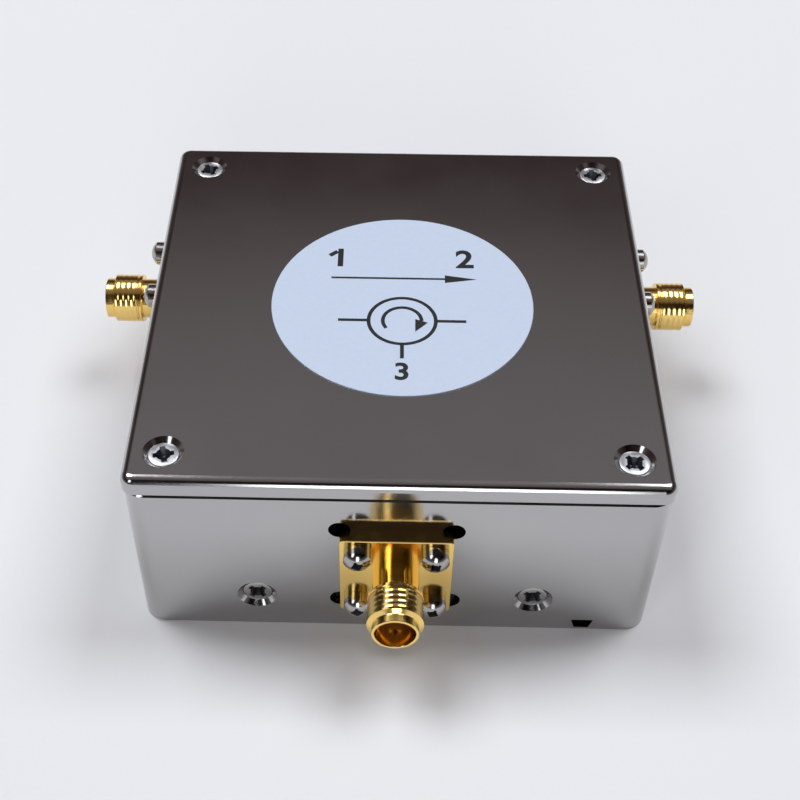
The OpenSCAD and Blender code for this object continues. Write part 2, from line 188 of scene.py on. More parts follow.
# %% Bright nickel
def bright_nickel():
    """A warm grey mirror, softened by polishing marks."""
    material, tree, shader = start_finish(
        "bright_nickel_plate", {"Base Color": linear("#B6B5B5"), "Metallic": 1.0})
    place = add_node(tree, "ShaderNodeTexCoord")
    # Plate thickness and handling change the gloss over about 9 mm
    cloud = add_node(
        tree, "ShaderNodeTexNoise", {"Scale": per_mm(9), "Detail": 3.0}, {"Vector": (place, "Object")})
    vary_gloss(tree, shader, cloud, sharpest=0.11, dullest=0.15)
    # Polishing marks, drawn at 0.25 mm because the real ones are finer than the picture shows
    grain = add_node(
        tree, "ShaderNodeTexNoise", {"Scale": per_mm(0.25), "Detail": 2.0}, {"Vector": (place, "Object")})
    vary_relief(tree, shader, grain, strength=0.03)
    return material


nickel = bright_nickel()
print("made", nickel.name)

# %% [markdown]
# ### Gold plate on brass
# The jacks are turned brass with a thin gold plate. The plate follows the turning marks, so it gleams
# along the rings rather than reflecting like glass, and it turns deep brown where it mirrors dark things.

# %% Gold plate
def gold_plate():
    """A bright yellow metal with a soft gleam."""
    material, tree, shader = start_finish(
        "gold_plate_on_brass", {"Base Color": linear("#FAD580"), "Metallic": 1.0})
    place = add_node(tree, "ShaderNodeTexCoord")
    # Turning and handling change the gloss over about 1.5 mm
    cloud = add_node(
        tree, "ShaderNodeTexNoise", {"Scale": per_mm(1.5), "Detail": 3.0}, {"Vector": (place, "Object")})
    vary_gloss(tree, shader, cloud, sharpest=0.12, dullest=0.18)
    return material


gold = gold_plate()
print("made", gold.name)

# %% [markdown]
# ### Steel, coated paper and ink
# The lid's screws are cold-formed steel with a clear zinc plate: paler and duller than the case. The base's
# screws and the pan heads on the flanges are bare stainless steel, which is darker and shinier. The label is
# a coated paper with a cool white face, and the print on it is a plain black ink.

# %% Screw steel
def screw_steel(name, dark, light, sharpest, dullest):
    """A grey metal with slight unevenness from the barrel the screws are tumbled in."""
    material, tree, shader = start_finish(name, {"Metallic": 1.0})
    place = add_node(tree, "ShaderNodeTexCoord")
    cloud = add_node(
        tree, "ShaderNodeTexNoise", {"Scale": per_mm(0.8), "Detail": 4.0}, {"Vector": (place, "Object")})
    vary_tone(tree, shader, cloud, dark, light)
    vary_gloss(tree, shader, cloud, sharpest, dullest)
    return material


zinc_steel = screw_steel("zinc_plated_steel", "#C2C4C7", "#DADBDE", sharpest=0.34, dullest=0.44)
stainless = screw_steel("stainless_steel", "#A19E9A", "#B9B6B2", sharpest=0.12, dullest=0.18)
# The punched recesses get a dull steel, much darker than the heads: painted shade for the dark inside of each
# cross
recess_shade_steel = screw_steel("recess_steel_painted_shade", "#505156", "#6A6C72", sharpest=0.4, dullest=0.55)
print("made", zinc_steel.name, stainless.name, recess_shade_steel.name)

# %% Paper and ink
def coated_paper():
    """A cool white face with a slight sheen and a faint fibre grain."""
    material, tree, shader = start_finish("coated_label_paper", {"Roughness": 0.45, "IOR": 1.5})
    place = add_node(tree, "ShaderNodeTexCoord")
    fibre = add_node(
        tree, "ShaderNodeTexNoise", {"Scale": per_mm(0.6), "Detail": 4.0}, {"Vector": (place, "Object")})
    vary_tone(tree, shader, fibre, "#CBD8EC", "#D3DFF1")
    return material


def printing_ink():
    """A flat black with a little unevenness where the paper takes less ink."""
    material, tree, shader = start_finish("black_printing_ink", {"Roughness": 0.5, "IOR": 1.5})
    place = add_node(tree, "ShaderNodeTexCoord")
    cover = add_node(
        tree, "ShaderNodeTexNoise", {"Scale": per_mm(0.3), "Detail": 2.0}, {"Vector": (place, "Object")})
    vary_tone(tree, shader, cover, "#0B0B0E", "#1C1C20")
    return material


paper, ink = coated_paper(), printing_ink()
print("made", paper.name, ink.name)

# %% [markdown]
# ### The finishes inside the case
# Nobody sees these while the case is closed, but each piece has its own material for whoever opens it:
# sintered magnets and ferrite, copper strips, polyimide film, a silicone pad, ceramic chips, and the amber
# plastic that insulates the jacks.
# They share one recipe: two tones that change over the grain's size, a roughness and a fine bump.

# %% Inner finishes
def grainy_finish(name, dark, light, grain_mm, metallic, roughness, relief):
    """A material whose tone changes between two colours over its own grain."""
    material, tree, shader = start_finish(name, {"Metallic": metallic, "Roughness": roughness})
    place = add_node(tree, "ShaderNodeTexCoord")
    grain = add_node(
        tree, "ShaderNodeTexNoise", {"Scale": per_mm(grain_mm), "Detail": 4.0}, {"Vector": (place, "Object")})
    vary_tone(tree, shader, grain, dark, light)
    vary_relief(tree, shader, grain, relief)
    return material


finishes = {
    "case_nickel": nickel,
    "gold_plate": gold,
    "screw_steel": zinc_steel,
    "label_paper": paper,
    # Deep brown with a soft sheen
    "amber_plastic": grainy_finish("moulded_amber_plastic", "#4A2110", "#5E2C16", 0.4, 0.0, 0.4, 0.1),
    # Nearly black, dull and rough, as it leaves the kiln
    "magnet_ferrite": grainy_finish("sintered_magnet_ferrite", "#1B1B1D", "#333335", 0.3, 0.0, 0.65, 0.4),
    # Mid grey, with the soft gleam of the grinding wheel
    "pole_steel": grainy_finish("ground_mild_steel", "#8A8987", "#A3A2A0", 0.5, 1.0, 0.35, 0.2),
    # Red-brown and bright, as it leaves the rolls
    "copper": grainy_finish("rolled_copper", "#C5734C", "#DB9068", 1.2, 1.0, 0.28, 0.1),
    # Black with a fine sheen, because it is ground flat after firing
    "garnet_ferrite": grainy_finish("ground_garnet_ferrite", "#15191A", "#262C2B", 0.2, 0.0, 0.4, 0.2),
    # Orange and smooth, with a clear gloss
    "film": grainy_finish("polyimide_film", "#B9660F", "#CC7A1C", 2.0, 0.0, 0.2, 0.05),
    # Off-white and quite matt, with a skin of small pores
    "silicone": grainy_finish("silicone_sponge", "#BDBCB6", "#D0CFC9", 0.5, 0.0, 0.8, 0.5),
    # Cream and fine-grained, with a slight sheen
    "capacitor_ceramic": grainy_finish("fired_capacitor_ceramic", "#BFAE88", "#D2C4A0", 0.2, 0.0, 0.5, 0.1),
}
for subpart in frame["record"]["subparts"]:
    node = frame["nodes"][subpart["node"]]
    node.data.materials.clear()
    node.data.materials.append(finishes[subpart["material_slot"]])

# %% [markdown]
# ## Tools for the bench
# A few small helpers do what the hand does in Blender's window: select one object, select some of its faces
# or edges, turn a profile, and join or cut one solid with another. Every operator acts on all that is
# selected, so each helper first clears the selection.

# %% Selecting
def only(piece):
    """Makes one object the only selected and the active one."""
    bpy.ops.object.select_all(action="DESELECT")
    piece.select_set(True)
    bpy.context.view_layer.objects.active = piece
    return piece


def place_in_mesh(piece, name):
    """Names an object and moves its place, turn and scale into its mesh."""
    piece.name = name
    piece.data.name = name
    only(piece)
    bpy.ops.object.transform_apply(location=True, rotation=True, scale=True)
    return piece


def edit_elements(piece, kind, test):
    """Opens edit mode with only the faces or edges of a piece that pass a test selected."""
    only(piece)
    bpy.ops.object.mode_set(mode="EDIT")
    bpy.ops.mesh.select_mode(type=kind)
    bpy.ops.mesh.select_all(action="DESELECT")
    bpy.ops.object.mode_set(mode="OBJECT")
    for element in piece.data.polygons if kind == "FACE" else piece.data.edges:
        element.select = test(element)
    bpy.ops.object.mode_set(mode="EDIT")


print("selecting ready")

# %% Turning, joining and cutting
def turn_profile(name, stations, segments, ring=False):
    """Draws a circle through (radius, height) stations in millimetres, as a lathe tool runs along a bar.

    A ring's last station is joined to its first, and any other profile is closed by a flat face at each end.
    """
    bpy.ops.object.select_all(action="DESELECT")
    radius, height = stations[0]
    bpy.ops.mesh.primitive_circle_add(vertices=segments, radius=radius * MM, location=(0, 0, height * MM))
    piece = place_in_mesh(bpy.context.object, name)
    bpy.ops.object.mode_set(mode="EDIT")
    bpy.ops.mesh.select_mode(type="EDGE")
    bpy.ops.mesh.select_all(action="SELECT")
    for next_radius, next_height in stations[1:]:
        rise = (0, 0, (next_height - height) * MM)
        bpy.ops.mesh.extrude_edges_move(TRANSFORM_OT_translate={"value": rise})
        grow = next_radius / radius
        bpy.ops.transform.resize(value=(grow, grow, 1), center_override=(0, 0, next_height * MM))
        radius, height = next_radius, next_height
    bpy.ops.mesh.select_all(action="DESELECT")
    bpy.ops.mesh.select_non_manifold(
        use_wire=False, use_multi_face=False, use_non_contiguous=False, use_verts=False)
    if ring:
        bpy.ops.mesh.bridge_edge_loops()
    else:
        bpy.ops.mesh.fill_holes(sides=0)
    bpy.ops.mesh.select_all(action="SELECT")
    bpy.ops.mesh.normals_make_consistent(inside=False)
    bpy.ops.object.mode_set(mode="OBJECT")
    return piece


def combine(piece, tool, operation):
    """Joins a tool to a piece or cuts it out of the piece, and deletes the tool.

    Faces that come from the tool keep the tool's finish.
    """
    only(piece)
    modifier = piece.modifiers.new(operation.lower(), "BOOLEAN")
    modifier.operation = operation
    modifier.object = tool
    modifier.solver = "EXACT"
    modifier.material_mode = "TRANSFER"
    bpy.ops.object.modifier_apply(modifier=modifier.name)
    bpy.data.objects.remove(tool)
    return piece


print("bench ready")

# %% [markdown]
# ## The cross recess
# A punch forms the recess in each screw head: two bars at right angles that narrow towards the bottom. The
# punch is modelled once for each size of head and cut out of the head, which is quicker and cleaner than
# pushing faces about.

# %% Cross punch
PUNCH_SPARE = 0.4
BAR_TIP_SHARE = 0.42
CONE_TIP_R, CONE_DEPTH_SHARE = 0.2, 1.35
CONE_MOUTH_SHARE, CONE_TOP_SHARE = 0.3, 0.34
CONE_SEGMENTS = 16


def punch_bar(span, width, depth, top, turn):
    """One bar of the punch, which stands out of the head by the spare length and narrows to its tip."""
    bpy.ops.object.select_all(action="DESELECT")
    bpy.ops.mesh.primitive_cube_add(
        size=1, location=(0, 0, (top + (PUNCH_SPARE - depth) / 2) * MM), rotation=(0, 0, math.radians(turn)),
        scale=(span * MM, width * MM, (depth + PUNCH_SPARE) * MM))
    piece = place_in_mesh(bpy.context.object, "punch_bar")
    edit_elements(piece, "FACE", lambda face: face.normal.z < -0.9)
    bpy.ops.transform.resize(value=(BAR_TIP_SHARE, BAR_TIP_SHARE, 1), center_override=(0, 0, 0))
    bpy.ops.object.mode_set(mode="OBJECT")
    return piece


def cross_punch(span, width, depth, top):
    """The tapered punch of a cross recess, in millimetres, with a deeper cone in its middle."""
    first, second = (punch_bar(span, width, depth, top, turn) for turn in (0, 90))
    cross = combine(first, second, "UNION")
    cone = turn_profile("punch_cone", [
        (CONE_TIP_R, top - CONE_DEPTH_SHARE * depth), (span * CONE_MOUTH_SHARE, top),
        (span * CONE_TOP_SHARE, top + PUNCH_SPARE),
    ], CONE_SEGMENTS)
    punch = combine(cross, cone, "UNION")
    # The punch's faces carry this darker steel into each recess, as painted shade
    punch.data.materials.clear()
    punch.data.materials.append(recess_shade_steel)
    return punch


print("punch ready")

# %% [markdown]
# ## Countersunk screws
# Four hold the lid, and two on the front and two on the back hold the base. The heads sit a little below
# the surface, in countersinks that are wider than they are. One screw is turned from its profile, punched,
# and copied with the cross at a different turn each time, as a screwdriver leaves them. The base's screws
# then get the shinier steel.

# %% One countersunk screw
POINT_CHAMFER = 0.3
CSK_SEGMENTS = 64
csk_head_r, csk_shank_r, csk_length = 1.85, 1.0, 6.0
csk_rim_r, csk_rim_break = 1.68, 0.08
# The broken edge of the rim passes through one point between its ends
break_in, break_down = 0.02, 0.03
countersunk = turn_profile("countersunk_screw", [
    (csk_shank_r - POINT_CHAMFER, -csk_length), (csk_shank_r, POINT_CHAMFER - csk_length),
    (csk_shank_r, csk_shank_r - csk_head_r), (csk_rim_r, csk_rim_r - csk_head_r),
    (csk_rim_r, -csk_rim_break), (csk_rim_r - break_in, -break_down), (csk_rim_r - csk_rim_break, 0),
], CSK_SEGMENTS)
countersunk.data.materials.append(zinc_steel)
combine(countersunk, cross_punch(span=2.85, width=0.78, depth=0.95, top=0), "DIFFERENCE")
print("countersunk screw:", len(countersunk.data.polygons), "faces")

# %% Copying and fitting
def set_out(name, model, places):
    """Copies a model to each place, joins the copies into one object, and leaves the model for later."""
    copies = []
    for place in places:
        only(model)
        bpy.ops.object.duplicate(linked=False)
        copy = bpy.context.object
        copy.matrix_world = place
        copies.append(place_in_mesh(copy, name))
    bpy.ops.object.select_all(action="DESELECT")
    for copy in copies:
        copy.select_set(True)
    bpy.context.view_layer.objects.active = copies[0]
    if len(copies) > 1:
        bpy.ops.object.join()
    joined = bpy.context.object
    joined.name = name
    return joined


def fit(piece, finish, smooth_angle, node=None):
    """Shades a finished piece, gives it its finish unless it has one, and ties it to the frame."""
    only(piece)
    bpy.ops.object.shade_smooth_by_angle(angle=math.radians(smooth_angle))
    if not any(piece.data.materials):
        piece.data.materials.clear()
        piece.data.materials.append(finish)
    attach(piece, "root")
    if node:
        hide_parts(node)
    print(piece.name, len(piece.data.polygons), "faces")
    return piece


def screw_places(outward, turns):
    """A place for each screw, whose head faces outward at a spot, with its own turn in degrees."""
    face = outward.to_track_quat("Z", "Y").to_matrix().to_4x4()
    return [
        Matrix.Translation(Vector(spot)) @ face @ Matrix.Rotation(math.radians(turn), 4, "Z")
        for spot, turn in turns
    ]


print("copying and fitting ready")

# %% Set out the countersunk screws
reach_x, reach_y, head_z = Vector(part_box("lid_screws")[1]) - Vector((csk_head_r, csk_head_r, 0)) * MM
lid_turns = [
    ((-reach_x, -reach_y, head_z), 12), ((reach_x, -reach_y, head_z), 40),
    ((-reach_x, reach_y, head_z), 30), ((reach_x, reach_y, head_z), 5),
]
lid_screw_set = set_out("lid_screw_set", countersunk, screw_places(Vector((0, 0, 1)), lid_turns))
fit(lid_screw_set, zinc_steel, 30, "lid_screws")

low, high = (Vector(corner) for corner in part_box("base_screws"))
side_x, front_y = high.x - csk_head_r * MM, low.y
middle_z = (low.z + high.z) / 2
front_turns = [((-side_x, front_y, middle_z), 45), ((side_x, front_y, middle_z), 52)]
back_turns = [((-side_x, -front_y, middle_z), 20), ((side_x, -front_y, middle_z), 70)]
base_places = screw_places(Vector((0, -1, 0)), front_turns)
base_places += screw_places(Vector((0, 1, 0)), back_turns)
base_screw_set = set_out("base_screw_set", countersunk, base_places)
base_screw_set.data.materials[0] = stainless
fit(base_screw_set, stainless, 30, "base_screws")
bpy.data.objects.remove(countersunk)

# %% [markdown]
# ## The jacks
# Each jack is turned from a bar, threaded, and carries a square flange. The thread is a real helix of 36
# turns to the inch. A helix could be made by a Screw modifier, but its open ends would need closing by hand.
# Here the plain band is cut into fine rings, and each point is drawn in by the depth of the thread at its
# own height and turn, so the solid stays closed. In the photograph the thread is only a faint serration, so
# its groove is drawn much shallower than on a new jack.

# %% Where the ports are
def port_place(number):
    """Puts a piece that is modelled along +Z on a port: z = 0 on the wall, +Z outwards, +Y up."""
    mounts = {mount["name"]: mount for mount in frame["record"]["mounts"]}
    outward = Vector(mounts[f"port_{number}_thread"]["axis"])
    up = Vector((0, 0, 1))
    low, high = (Vector(corner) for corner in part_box(f"port_{number}_jack"))
    wall_point = (low + high) / 2 - outward * abs((high - low).dot(outward)) / 2
    turn = Matrix((up.cross(outward), up, outward)).transposed().to_4x4()
    return Matrix.Translation(wall_point) @ turn


port_places = {number: port_place(number) for number in (1, 2, 3)}
for number, place in port_places.items():
    print("port", number, [round(value, 4) for value in place.translation])

# %% Turn the barrel
JACK_SEGMENTS = 96
neck_r, thread_r, mouth_r, bore_r = 2.65, 3.175, 2.3, 2.07
# The barrel starts inside the flange, so that the two become one solid
barrel_start, floor_z, jack_length = 0.8, 6.0, 9.4
collar_start, collar_end, collar_break = 4.5, 4.95, 0.06
thread_start, thread_end, groove_depth, nose_start = 5.2, 8.1, 0.2, 8.4
nose_break, nose_step, mouth_break = 0.1, 0.03, 0.05
barrel = turn_profile("jack_barrel", [
    (neck_r, barrel_start), (neck_r, collar_start), (thread_r - collar_break, collar_start),
    (thread_r, collar_start + collar_break), (thread_r, collar_end - collar_break),
    (thread_r - collar_break, collar_end), (thread_r - groove_depth, collar_end),
    (thread_r - groove_depth, thread_start), (thread_r, thread_start), (thread_r, thread_end),
    (neck_r, nose_start), (neck_r, jack_length - nose_break), (neck_r - nose_step, jack_length - nose_step),
    (neck_r - nose_break, jack_length), (mouth_r + mouth_break, jack_length),
    (mouth_r, jack_length - mouth_break), (mouth_r, floor_z), (bore_r, floor_z), (bore_r, barrel_start),
], JACK_SEGMENTS, ring=True)
print("barrel:", len(barrel.data.polygons), "faces")

# %% Cut the thread
INCH, TURNS_PER_INCH, RINGS_PER_TURN = 25.4, 36, 24
THREAD_DEPTH, THREAD_FADE = 0.02, 0.25
# A wave of 0.5 is a plain one, and a higher wave has flat crests and roots
WAVE = 0.7
CLOSE = 0.01
thread_pitch = INCH / TURNS_PER_INCH


def edge_ends(piece, edge):
    """The two end points of an edge, in metres."""
    return [piece.data.vertices[index].co for index in edge.vertices]


def spans_thread(edge):
    """Whether an edge runs along the plain band from one end of the thread to the other."""
    start, end = sorted(point.z / MM for point in edge_ends(barrel, edge))
    return abs(start - thread_start) < CLOSE and abs(end - thread_end) < CLOSE


edit_elements(barrel, "EDGE", spans_thread)
bpy.ops.mesh.subdivide(number_cuts=int(RINGS_PER_TURN * (thread_end - thread_start) / thread_pitch))
bpy.ops.object.mode_set(mode="OBJECT")
for point in barrel.data.vertices:
    height, radius = point.co.z / MM, math.hypot(point.co.x, point.co.y) / MM
    if thread_start < height < thread_end and radius > thread_r - CLOSE:
        angle = math.atan2(point.co.y, point.co.x)
        phase = (height - thread_start) / thread_pitch - angle / math.tau
        valley = min(1, max(0, 0.5 - WAVE * math.cos(math.tau * phase)))
        fade = min(1, (height - thread_start) / THREAD_FADE, (thread_end - height) / THREAD_FADE)
        draw_in = 1 - THREAD_DEPTH * valley * fade / thread_r
        point.co.x *= draw_in
        point.co.y *= draw_in
print("threaded barrel:", len(barrel.data.polygons), "faces")

# %% Make the flange
flange_w, flange_t, flange_corner_r, flange_break = 12.7, 1.6, 0.4, 0.12
bpy.ops.object.select_all(action="DESELECT")
bpy.ops.mesh.primitive_cube_add(
    size=1, location=(0, 0, flange_t / 2 * MM), scale=(flange_w * MM, flange_w * MM, flange_t * MM))
jack = place_in_mesh(bpy.context.object, "threaded_jack")


def joins_faces(edge):
    """Whether an edge runs from the flange's inner face to its outer one."""
    start, end = edge_ends(jack, edge)
    return abs(start.z - end.z) > flange_t / 2 * MM


def on_outer_face(edge):
    """Whether an edge lies on the flange's outer face."""
    return all(point.z > (flange_t - CLOSE) * MM for point in edge_ends(jack, edge))


edit_elements(jack, "EDGE", joins_faces)
bpy.ops.mesh.bevel(offset=flange_corner_r * MM, segments=4)
bpy.ops.object.mode_set(mode="OBJECT")
edit_elements(jack, "EDGE", on_outer_face)
bpy.ops.mesh.bevel(offset=flange_break * MM, segments=2)
bpy.ops.object.mode_set(mode="OBJECT")
print("flange:", len(jack.data.polygons), "faces")

# %% Bore the flange and join the barrel
DRILL_SEGMENTS = 32
FLANGE_CORNERS = [(-1, 1), (1, 1), (-1, -1), (1, -1)]
shoulder_r, shoulder_t, screw_pitch, screw_hole_r = 2.52, 1.0, 8.64, 1.15
# The tools run past both faces of the flange
cut_low, cut_high = -1, 3
bore_profile = [(shoulder_r, cut_low), (shoulder_r, shoulder_t), (bore_r, shoulder_t), (bore_r, cut_high)]
combine(jack, turn_profile("bore", bore_profile, JACK_SEGMENTS), "DIFFERENCE")
for x, y in FLANGE_CORNERS:
    drill = turn_profile("drill", [(screw_hole_r, cut_low), (screw_hole_r, cut_high)], DRILL_SEGMENTS)
    drill.location = (x * screw_pitch / 2 * MM, y * screw_pitch / 2 * MM, 0)
    combine(jack, drill, "DIFFERENCE")
combine(jack, barrel, "UNION")
print("jack:", len(jack.data.polygons), "faces")

# %% Set out the jacks
for number, place in port_places.items():
    piece = set_out(f"port_{number}_threaded_jack", jack, [place])
    fit(piece, gold, 20, f"port_{number}_jack")
bpy.data.objects.remove(jack)

# %% [markdown]
# ## Flange screws
# Four small pan heads hold each flange. A pan head is a short cylinder with a domed top. One is turned,
# punched and copied to the corners of each flange.

# %% One pan head screw
PAN_SEGMENTS, DOME_RINGS = 48, 10
pan_r, pan_h, dome_r, pan_break = 1.55, 2.0, 1.9, 0.06
pan_shank_r, pan_length = 1.0, 4.4
dome_edge = math.asin(pan_r / dome_r)
pan_profile = [
    (pan_shank_r - POINT_CHAMFER, -pan_length), (pan_shank_r, POINT_CHAMFER - pan_length), (pan_shank_r, 0),
    (pan_r - pan_break, 0), (pan_r, pan_break),
]
for step in range(DOME_RINGS):
    angle = dome_edge * (1 - step / DOME_RINGS)
    pan_profile.append((dome_r * math.sin(angle), pan_h - dome_r * (1 - math.cos(angle))))
pan_screw = turn_profile("pan_screw", pan_profile, PAN_SEGMENTS)
pan_screw.data.materials.append(stainless)
combine(pan_screw, cross_punch(span=1.9, width=0.5, depth=0.8, top=pan_h), "DIFFERENCE")
print("pan screw:", len(pan_screw.data.polygons), "faces")

# %% Set out the flange screws
pan_turns = {1: (10, 55, 80, 30), 2: (0, 65, 25, 40), 3: (20, 38, 5, 62)}
for number, place in port_places.items():
    places = []
    for (x, y), turn in zip(FLANGE_CORNERS, pan_turns[number]):
        spot = Matrix.Translation(Vector((x * screw_pitch / 2, y * screw_pitch / 2, flange_t)) * MM)
        places.append(place @ spot @ Matrix.Rotation(math.radians(turn), 4, "Z"))
    piece = set_out(f"port_{number}_screw_set", pan_screw, places)
    fit(piece, stainless, 35, f"port_{number}_screws")
bpy.data.objects.remove(pan_screw)

# %% [markdown]
# ## The label and its print
# The label is a disc of paper with a softly rounded edge. Its print is generic: an arrow for the direction,
# numerals for the ports and the usual sign of a circulator. The print is a mesh of its own, a hair above the
# paper, so it stays sharp at any distance.

# %% Label disc
LABEL_SEGMENTS = 160
LABEL_EDGE_R = 0.04
INK_T = 0.012


def thicken(piece, thickness):
    """Makes a flat piece a closed slab, by extruding it upwards by a thickness in metres."""
    only(piece)
    bpy.ops.object.mode_set(mode="EDIT")
    bpy.ops.mesh.select_all(action="SELECT")
    bpy.ops.mesh.extrude_region_move(TRANSFORM_OT_translate={"value": (0, 0, thickness)})
    bpy.ops.mesh.select_all(action="SELECT")
    bpy.ops.mesh.normals_make_consistent(inside=False)
    bpy.ops.object.mode_set(mode="OBJECT")
    return piece


low, high = (Vector(corner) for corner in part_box("label"))
label_middle = (low + high) / 2
label_r = (high.x - low.x) / 2
label_top = high.z - INK_T * MM
bpy.ops.object.select_all(action="DESELECT")
bpy.ops.mesh.primitive_circle_add(
    vertices=LABEL_SEGMENTS, radius=label_r, fill_type="NGON",
    location=(label_middle.x, label_middle.y, low.z))
round_label = thicken(place_in_mesh(bpy.context.object, "round_label"), label_top - low.z)
edge_round = round_label.modifiers.new("edge round", "BEVEL")
edge_round.width = LABEL_EDGE_R * MM
edge_round.segments = 2
edge_round.limit_method = "ANGLE"
edge_round.angle_limit = math.radians(60)
bpy.ops.object.modifier_apply(modifier=edge_round.name)
fit(round_label, paper, 20, "label")

# %% Arrow on the label
def print_on_label(piece, name):
    """Makes a flat piece in the plane z = 0 a thin layer of ink on the label."""
    thicken(place_in_mesh(piece, name), INK_T * MM)
    piece.location.z = label_top
    return place_in_mesh(piece, name)


def ink_bar(name, start, end, width):
    """A straight bar of ink between two points in millimetres."""
    start, end = Vector((*start, 0)) * MM, Vector((*end, 0)) * MM
    run = end - start
    bpy.ops.object.select_all(action="DESELECT")
    bpy.ops.mesh.primitive_plane_add(
        size=1, location=(start + end) / 2, rotation=(0, 0, math.atan2(run.y, run.x)))
    piece = bpy.context.object
    piece.scale = (run.length, width * MM, 1)
    return print_on_label(piece, name)


def ink_point(name, base, tip, width):
    """A filled triangle of ink from the middle of its base to its tip, in millimetres."""
    base, tip = Vector((*base, 0)) * MM, Vector((*tip, 0)) * MM
    run = tip - base
    bpy.ops.object.select_all(action="DESELECT")
    bpy.ops.mesh.primitive_circle_add(
        vertices=3, radius=1, fill_type="NGON", location=base + run / 3,
        rotation=(0, 0, math.atan2(run.y, run.x) - math.pi / 2))
    piece = bpy.context.object
    piece.scale = (width / math.sqrt(3) * MM, run.length / 1.5, 1)
    return print_on_label(piece, name)


ARROW_Y, ARROW_START, ARROW_NECK, ARROW_TIP = 3.4, -8.4, 5.5, 9.4
marks = [
    ink_bar("arrow_shaft", (ARROW_START, ARROW_Y), (ARROW_NECK, ARROW_Y), width=0.32),
    ink_point("arrow_point", (ARROW_NECK, ARROW_Y), (ARROW_TIP, ARROW_Y), width=1.4),
]
print("arrow:", [len(mark.data.polygons) for mark in marks], "faces")

# %% Port numerals
BOLDER_SHARE = 0.025


def ink_numeral(text, x, y, size):
    """A plain numeral of the built-in font, drawn a little bolder and made a mesh."""
    bpy.ops.object.select_all(action="DESELECT")
    bpy.ops.object.text_add(location=(x * MM, y * MM, 0))
    words = bpy.context.object
    words.data.body = text
    words.data.size = size * MM
    words.data.offset = BOLDER_SHARE * size * MM
    words.data.align_x, words.data.align_y = "CENTER", "CENTER"
    bpy.ops.object.convert(target="MESH")
    return print_on_label(bpy.context.object, f"numeral_{text}")


for text, x, y, size in (("1", -7.4, 7.0, 4.6), ("2", 8.0, 7.0, 4.6), ("3", 0.3, -12.9, 3.8)):
    marks.append(ink_numeral(text, x, y, size))
# The font's 1 is a bare stroke, so it gets a flag
marks.append(ink_bar("numeral_1_flag", (-8.75, 7.55), (-7.8, 8.35), width=0.6))
print("pieces of print so far:", len(marks))

# %% The circulator's sign
SLIVER = 0.001
STEP_DEGREES = 5


def ink_arc(name, middle, radius, width, start, sweep):
    """A flat arc of ink that runs clockwise, spun from a short straight edge."""
    along = Vector((math.cos(math.radians(start)), math.sin(math.radians(start)), 0))
    across = Vector((along.y, -along.x, 0))
    centre = Vector((*middle, 0)) * MM
    bpy.ops.object.select_all(action="DESELECT")
    bpy.ops.mesh.primitive_plane_add(
        size=1, location=centre + along * radius * MM, rotation=(0, 0, math.radians(start)))
    piece = bpy.context.object
    piece.scale = (width * MM, SLIVER * MM, 1)
    place_in_mesh(piece, name)
    edit_elements(piece, "EDGE", lambda edge: all(
        (point - centre).dot(across) > 0 for point in edge_ends(piece, edge)))
    bpy.ops.mesh.spin(
        steps=int(sweep / STEP_DEGREES), angle=math.radians(sweep), center=centre, axis=(0, 0, 1))
    bpy.ops.mesh.select_all(action="SELECT")
    bpy.ops.mesh.remove_doubles(threshold=2 * SLIVER * MM)
    bpy.ops.mesh.normals_make_consistent(inside=False)
    bpy.ops.object.mode_set(mode="OBJECT")
    return print_on_label(piece, name)


SIGN_X, SIGN_Y, SIGN_R, LINE_W = 0.3, -4.2, 4.0, 0.45
SIDE_LEAD, FRONT_LEAD = 3.4, 2.2
TURN_R, TURN_START, TURN_SWEEP = 2.3, 215, 215
POINT_IN, POINT_DOWN, POINT_W = 0.75, 1.9, 1.6
sign = (SIGN_X, SIGN_Y)
ring_out = SIGN_R + LINE_W / 2
turn_end = math.radians(TURN_START - TURN_SWEEP)
point_base = (SIGN_X + TURN_R * math.cos(turn_end), SIGN_Y + TURN_R * math.sin(turn_end))
point_tip = (point_base[0] - POINT_IN, point_base[1] - POINT_DOWN)
marks += [
    ink_arc("sign_ring", sign, SIGN_R, LINE_W, start=0, sweep=360),
    ink_arc("sign_turn", sign, TURN_R, LINE_W, TURN_START, TURN_SWEEP),
    ink_point("sign_point", point_base, point_tip, POINT_W),
    ink_bar("sign_left", (SIGN_X - ring_out - SIDE_LEAD, SIGN_Y), (SIGN_X - ring_out, SIGN_Y), LINE_W),
    ink_bar("sign_right", (SIGN_X + ring_out, SIGN_Y), (SIGN_X + ring_out + SIDE_LEAD, SIGN_Y), LINE_W),
    ink_bar("sign_front", (SIGN_X, SIGN_Y - ring_out - FRONT_LEAD), (SIGN_X, SIGN_Y - ring_out), LINE_W),
]
print("pieces of print:", len(marks))

# %% Join the print
bpy.ops.object.select_all(action="DESELECT")
for mark in marks:
    mark.select_set(True)
bpy.context.view_layer.objects.active = marks[0]
bpy.ops.object.join()
label_print = bpy.context.object
label_print.name = "label_print"
fit(label_print, ink, 30)

# %% [markdown]
# ## Floor and light
# The part stands on a pale sheet in a dim room. Two large lamps hang above and behind it, one on each side,
# a tall window stands in front, and a small panel to the left of that. A polished case shows little of its
# own colour: its lid mirrors the dim far wall, and its front mirrors the sheet, which is darkest in the
# case's own shadow. The gold takes its brown bands from a dark curtain behind the camera.

# %% Floor
SHEET_SIZE_MM = 12000
SHEET_GAP_MM = 0.02
bpy.ops.object.select_all(action="DESELECT")
bpy.ops.mesh.primitive_plane_add(size=SHEET_SIZE_MM * MM, location=(0, 0, -SHEET_GAP_MM * MM))
floor = place_in_mesh(bpy.context.object, "pale_sheet")
# Uncoated white card, which scatters light evenly and shows no gleam
white_card = start_finish("matt_white_sheet", {"Base Color": linear("#F2F2F2"), "Roughness": 0.9})[0]
floor.data.materials.append(white_card)
print("floor:", white_card.name)

